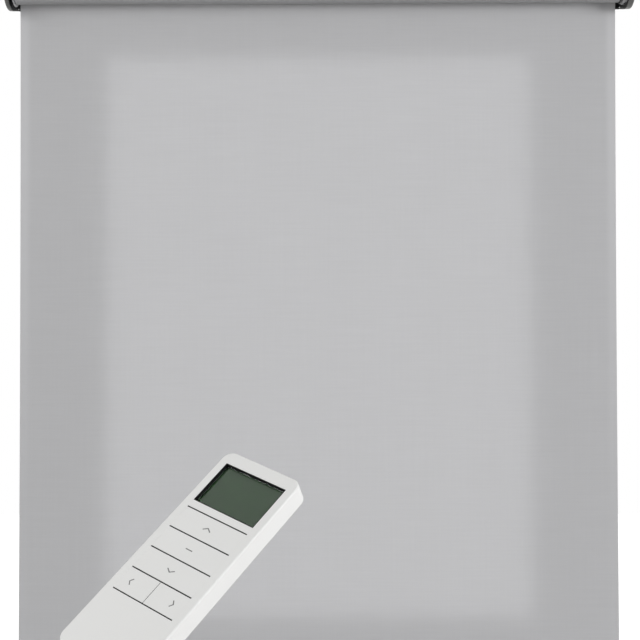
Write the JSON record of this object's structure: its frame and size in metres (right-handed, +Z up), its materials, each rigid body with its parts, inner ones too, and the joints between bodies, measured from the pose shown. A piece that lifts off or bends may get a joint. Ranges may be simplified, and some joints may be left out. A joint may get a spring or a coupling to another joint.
{
  "type": "motorized roller blind",
  "caption": "Battery tubular-motor roller blind: two covered wall brackets, grey cloth off the back of the roll, weighted bottom rail and a hand transmitter with a small display.",
  "frame": {"origin": "on the wall plane, midway between the brackets' outer faces, level with the roller's axis", "axes": "+X along the roller to the motor end, +Y into the wall, +Z up"},
  "size_m": [0.6, 0.7339, 0.7377],
  "materials": {
    "cover_plastic": "satin",
    "black_steel": "satin",
    "nylon": "satin",
    "grey_plug": "satin",
    "black_plastic": "satin",
    "spring_steel": "bright",
    "zinc_screw": "zinc plated",
    "steel": "ground",
    "black_button": "gloss",
    "clear_lens": "clear",
    "board": "solder mask",
    "cell_wrap": "shrink sleeve",
    "sintered": "sintered",
    "zinc_casting": "cast",
    "bronze": "oiled",
    "tube_aluminium": "mill finish",
    "pvc": "extruded",
    "grey_cloth": "coated plain weave",
    "rail_aluminium": "powder coat",
    "rail_cap_plastic": "satin",
    "white_shell": "fine texture",
    "white_key": "satin",
    "lcd_glass": "clear",
    "lcd_panel": "gloss",
    "silicone": "matte",
    "cell_steel": "bright"
  },
  "bodies": {
    "frame": {"left_bracket_plate": "black_steel", "left_bracket_cover": "cover_plastic", "idle_bush": "nylon", "right_bracket_plate": "black_steel", "right_bracket_cover": "cover_plastic", "motor_lock_clip": "spring_steel", "motor_head": "grey_plug", "charge_port": "spring_steel", "status_lens": "clear_lens", "head_screws": "zinc_screw", "motor_tube": "steel", "control_board": "board", "battery_cells": "cell_wrap", "drive_motor": "steel", "ring_gear": "sintered", "motor_end_cap": "zinc_casting", "output_bush": "bronze", "cloth": "grey_cloth"},
    "roller": {"roller_tube": "tube_aluminium", "cloth_spline": "pvc", "cloth_roll": "grey_cloth", "idle_plug": "grey_plug", "idle_spring": "spring_steel", "crown": "black_plastic", "drive_wheel": "nylon", "drive_clip": "spring_steel", "planet_carrier": "steel"},
    "idle_pin": {"idle_pin": "steel"},
    "programming_button": {"programming_button": "black_button"},
    "motor_pinion": {"motor_pinion": "steel"},
    "planet_1": {"planet_gear_1": "nylon"},
    "planet_2": {"planet_gear_2": "nylon"},
    "planet_3": {"planet_gear_3": "nylon"},
    "rail": {"bottom_rail": "rail_aluminium", "rail_cap_left": "rail_cap_plastic", "rail_cap_right": "rail_cap_plastic", "rail_spline": "pvc"},
    "remote": {"remote_front_shell": "white_shell", "remote_back_shell": "white_shell", "remote_screws": "zinc_screw", "lcd_bezel": "black_plastic", "lcd_window": "lcd_glass", "lcd_module": "lcd_panel", "key_mat": "silicone", "remote_board": "board", "coin_cell": "cell_steel", "battery_contacts": "cell_steel"},
    "key_up": {"key_up": "white_key"},
    "key_stop": {"key_stop": "white_key"},
    "key_down": {"key_down": "white_key"},
    "key_left": {"key_left": "white_key"},
    "key_right": {"key_right": "white_key"},
    "battery_door": {"battery_door": "white_shell"}
  },
  "joints": [
    {"name": "roller_turn", "type": "hinge", "parent": "frame", "child": "roller", "pos_m": [0, -0.03, 0], "axis": [1, 0, 0], "range_deg": [0, 2160]},
    {"name": "rail_lift", "type": "slide", "parent": "frame", "child": "rail", "axis": [0, 0, 1], "range_m": [0, 0.666], "deforming": ["cloth"]},
    {"name": "pinion_spin", "type": "hinge", "parent": "frame", "child": "motor_pinion", "pos_m": [0.024, -0.03, 0], "axis": [1, 0, 0], "range_deg": [0, 8640]},
    {"name": "planet_1_spin", "type": "hinge", "parent": "roller", "child": "planet_1", "pos_m": [0.024, -0.03, 0.0054], "axis": [1, 0, 0], "range_deg": [-6480, 0]},
    {"name": "planet_2_spin", "type": "hinge", "parent": "roller", "child": "planet_2", "pos_m": [0.024, -0.03468, -0.0027], "axis": [1, 0, 0], "range_deg": [-6480, 0]},
    {"name": "planet_3_spin", "type": "hinge", "parent": "roller", "child": "planet_3", "pos_m": [0.024, -0.02532, -0.0027], "axis": [1, 0, 0], "range_deg": [-6480, 0]},
    {"name": "idle_pin_push", "type": "slide", "parent": "roller", "child": "idle_pin", "axis": [1, 0, 0], "range_m": [0, 0.004], "stiffness_N_per_m": 400, "springref_m": -0.008, "deforming": ["idle_spring"]},
    {"name": "programming_press", "type": "slide", "parent": "frame", "child": "programming_button", "axis": [0, 0.6157, 0.788], "range_m": [0, 0.0005], "stiffness_N_per_m": 800, "springref_m": -0.0005},
    {"name": "remote_hold", "type": "slide", "parent": "frame", "child": "remote", "axis": [0, 0, 1], "range_m": [0, 0.1]},
    {"name": "key_up_press", "type": "slide", "parent": "remote", "child": "key_up", "axis": [0.2217, 0.6621, -0.7159], "range_m": [0, 0.0005], "stiffness_N_per_m": 600, "springref_m": -0.0005},
    {"name": "key_stop_press", "type": "slide", "parent": "remote", "child": "key_stop", "axis": [0.2217, 0.6621, -0.7159], "range_m": [0, 0.0005], "stiffness_N_per_m": 600, "springref_m": -0.0005},
    {"name": "key_down_press", "type": "slide", "parent": "remote", "child": "key_down", "axis": [0.2217, 0.6621, -0.7159], "range_m": [0, 0.0005], "stiffness_N_per_m": 600, "springref_m": -0.0005},
    {"name": "key_left_press", "type": "slide", "parent": "remote", "child": "key_left", "axis": [0.2217, 0.6621, -0.7159], "range_m": [0, 0.0005], "stiffness_N_per_m": 600, "springref_m": -0.0005},
    {"name": "key_right_press", "type": "slide", "parent": "remote", "child": "key_right", "axis": [0.2217, 0.6621, -0.7159], "range_m": [0, 0.0005], "stiffness_N_per_m": 600, "springref_m": -0.0005},
    {"name": "battery_door_slide", "type": "slide", "parent": "remote", "child": "battery_door", "axis": [-0.5907, -0.493, -0.6388], "range_m": [0, 0.03]}
  ],
  "couplings": [
    {"joint": "roller_turn", "follows": "rail_lift", "rad_per_m": 56.6},
    {"joint": "pinion_spin", "follows": "rail_lift", "rad_per_m": 226.4},
    {"joint": "planet_1_spin", "follows": "rail_lift", "rad_per_m": -169.8},
    {"joint": "planet_2_spin", "follows": "rail_lift", "rad_per_m": -169.8},
    {"joint": "planet_3_spin", "follows": "rail_lift", "rad_per_m": -169.8}
  ]
}
